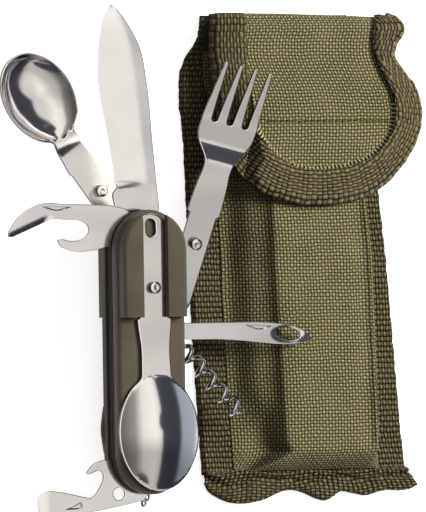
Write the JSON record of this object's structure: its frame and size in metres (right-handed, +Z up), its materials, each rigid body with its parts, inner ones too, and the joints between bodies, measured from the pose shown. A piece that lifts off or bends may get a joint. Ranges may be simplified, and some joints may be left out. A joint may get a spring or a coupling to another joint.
{
  "type": "folding camp cutlery set",
  "caption": "Folding camp tool with knife, openers, awl and corkscrew, a stored spoon, a loose small spoon and fork, and a woven belt pouch, laid out flat.",
  "frame": {"origin": "middle of the whole set's underside as it lies on a table", "axes": "+X across the handle from the can opener towards the pouch, +Y along the handle towards the knife's point, +Z up from the table, out of the handle's front face"},
  "size_m": [0.1686, 0.1874, 0.032],
  "materials": {
    "plastic": "olive-brown moulded plastic, satin, fine grain",
    "liner_steel": "brushed, dull",
    "spring_steel": "satin",
    "pin_steel": "turned and polished",
    "blade_steel": "satin ground faces",
    "cutlery_steel": "mirror polished stainless sheet",
    "wire_steel": "polished wire",
    "pouch_cloth": "coarse olive basket weave nylon",
    "binding_tape": "ribbed olive-brown webbing",
    "hook_and_loop": "dark hook and loop pile"
  },
  "bodies": {
    "handle": {"front_cover": "plastic", "rear_cover": "plastic", "front_liner": "liner_steel", "rear_liner": "liner_steel", "front_divider": "liner_steel", "rear_divider": "liner_steel", "knife_spring": "spring_steel", "bottle_opener_spring": "spring_steel", "can_opener_spring": "spring_steel", "top_pin": "pin_steel", "bottom_pin": "pin_steel", "middle_pin": "pin_steel", "spring_rivet": "pin_steel"},
    "knife": {"knife_blade": "blade_steel"},
    "can_opener": {"can_opener": "blade_steel"},
    "bottle_opener": {"bottle_opener": "blade_steel"},
    "awl": {"awl": "blade_steel"},
    "corkscrew": {"corkscrew": "wire_steel"},
    "lanyard_ring": {"lanyard_ring": "wire_steel"},
    "large_spoon": {"large_spoon": "cutlery_steel", "large_spoon_stud": "pin_steel"},
    "small_spoon": {"small_spoon": "cutlery_steel", "small_spoon_stud": "pin_steel"},
    "fork": {"fork": "cutlery_steel", "fork_stud": "pin_steel"},
    "pouch": {"pouch_back_panel": "pouch_cloth", "pouch_body": "pouch_cloth", "pouch_flap": "pouch_cloth", "left_binding": "binding_tape", "right_binding": "binding_tape", "bottom_binding": "binding_tape", "loop_patch": "hook_and_loop", "hook_patch": "hook_and_loop", "belt_loop": "binding_tape"}
  },
  "joints": [
    {"name": "knife_pivot", "type": "hinge", "parent": "handle", "child": "knife", "pos_m": [-0.03373, 0.00667, 0.0154], "axis": [0, 0, 1], "range_deg": [-7, 172]},
    {"name": "can_opener_pivot", "type": "hinge", "parent": "handle", "child": "can_opener", "pos_m": [-0.03373, 0.00667, 0.0154], "axis": [0, 0, 1], "range_deg": [-88, 88]},
    {"name": "bottle_opener_pivot", "type": "hinge", "parent": "handle", "child": "bottle_opener", "pos_m": [-0.02793, -0.07733, 0.0154], "axis": [0, 0, 1], "range_deg": [-80, 72]},
    {"name": "awl_pivot", "type": "hinge", "parent": "handle", "child": "awl", "pos_m": [-0.02123, -0.02463, 0.0154], "axis": [0, 0, 1], "range_deg": [-85, 0]},
    {"name": "corkscrew_pivot", "type": "hinge", "parent": "handle", "child": "corkscrew", "pos_m": [-0.02123, -0.02463, 0.0154], "axis": [0, 0, 1], "range_deg": [-40.5, 20]},
    {"name": "ring_swing", "type": "hinge", "parent": "handle", "child": "lanyard_ring", "pos_m": [-0.02993, -0.08843, 0.01215], "axis": [1, 0, 0], "range_deg": [-25, 3]},
    {"name": "large_spoon_slide", "type": "slide", "parent": "handle", "child": "large_spoon", "axis": [0, -1, 0], "range_m": [0, 0.11]},
    {"name": "small_spoon_lift", "type": "slide", "parent": "handle", "child": "small_spoon", "axis": [-0.5906, 0.807, 0], "range_m": [0, 0.08]},
    {"name": "fork_lift", "type": "slide", "parent": "handle", "child": "fork", "axis": [0.2444, 0.9452, 0.2164], "range_m": [0, 0.08]},
    {"name": "pouch_take_away", "type": "slide", "parent": "handle", "child": "pouch", "axis": [1, 0, 0], "range_m": [0, 0.1]}
  ]
}
